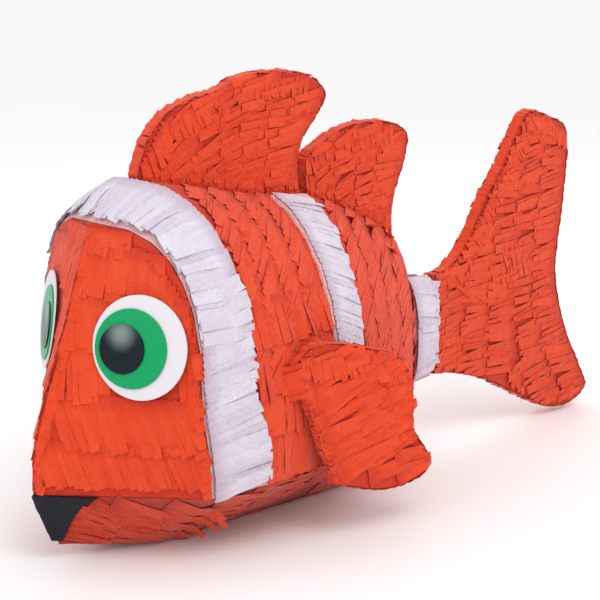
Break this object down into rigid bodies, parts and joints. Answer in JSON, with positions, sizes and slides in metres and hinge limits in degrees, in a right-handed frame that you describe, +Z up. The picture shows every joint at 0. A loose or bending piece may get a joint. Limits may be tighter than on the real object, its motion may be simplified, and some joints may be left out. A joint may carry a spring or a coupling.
{
  "type": "fish pinata",
  "caption": "Hollow fish-shaped party pinata of card covered with fringed crepe paper, with upright card fins, paper disc eyes and a taped filling flap under the belly.",
  "frame": {"origin": "middle of the bottom of the bounding box, on the surface that the belly rests on", "axes": "+X towards the tail, +Y towards the fish's right side, +Z up through the back fins"},
  "size_m": [0.5792, 0.2318, 0.315],
  "materials": {
    "orange_crepe": "matte crinkled crepe paper",
    "underside_crepe": "matte crinkled crepe paper",
    "white_crepe": "matte crinkled crepe paper",
    "brown_card": "matte uncoated card",
    "eye_white_paper": "glossy coated paper",
    "eye_green_paper": "glossy coated paper",
    "eye_black_paper": "glossy coated paper",
    "mouth_black_paper": "glossy creased paper",
    "clear_tape": "clear glossy adhesive tape",
    "stick_wood": "plain satin wood"
  },
  "bodies": {
    "shell": {"belly_card": "brown_card", "belly_crepe": "underside_crepe", "eye_iris_left": "eye_green_paper", "eye_iris_right": "eye_green_paper", "eye_pupil_left": "eye_black_paper", "eye_pupil_right": "eye_black_paper", "eye_white_left": "eye_white_paper", "eye_white_right": "eye_white_paper", "flank_card_left": "brown_card", "flank_card_right": "brown_card", "flank_crepe_left": "orange_crepe", "flank_crepe_right": "orange_crepe", "front_fin_card": "brown_card", "front_fin_crepe": "orange_crepe", "hanging_stick": "stick_wood", "head_band": "white_crepe", "head_card_left": "brown_card", "head_card_right": "brown_card", "head_crepe_left": "orange_crepe", "head_crepe_right": "orange_crepe", "mid_band_left": "white_crepe", "mid_band_right": "white_crepe", "mouth_patch": "mouth_black_paper", "rear_fin_card": "brown_card", "rear_fin_crepe": "orange_crepe", "side_fin_left_card": "brown_card", "side_fin_left_crepe": "orange_crepe", "side_fin_right_card": "brown_card", "side_fin_right_crepe": "orange_crepe", "tail_band": "white_crepe", "tail_fin_card": "brown_card", "tail_fin_crepe": "orange_crepe", "underside_card_left": "brown_card", "underside_card_right": "brown_card", "underside_crepe_left": "underside_crepe", "underside_crepe_right": "underside_crepe"},
    "flap": {"flap_card": "brown_card", "flap_crepe": "underside_crepe", "flap_tape": "clear_tape"}
  },
  "joints": [
    {"name": "flap_hinge", "type": "hinge", "parent": "shell", "child": "flap", "pos_m": [-0.14599, -0.03236, 0.00768], "axis": [0.9997, 0.0259, 0], "range_deg": [0, 110]}
  ]
}
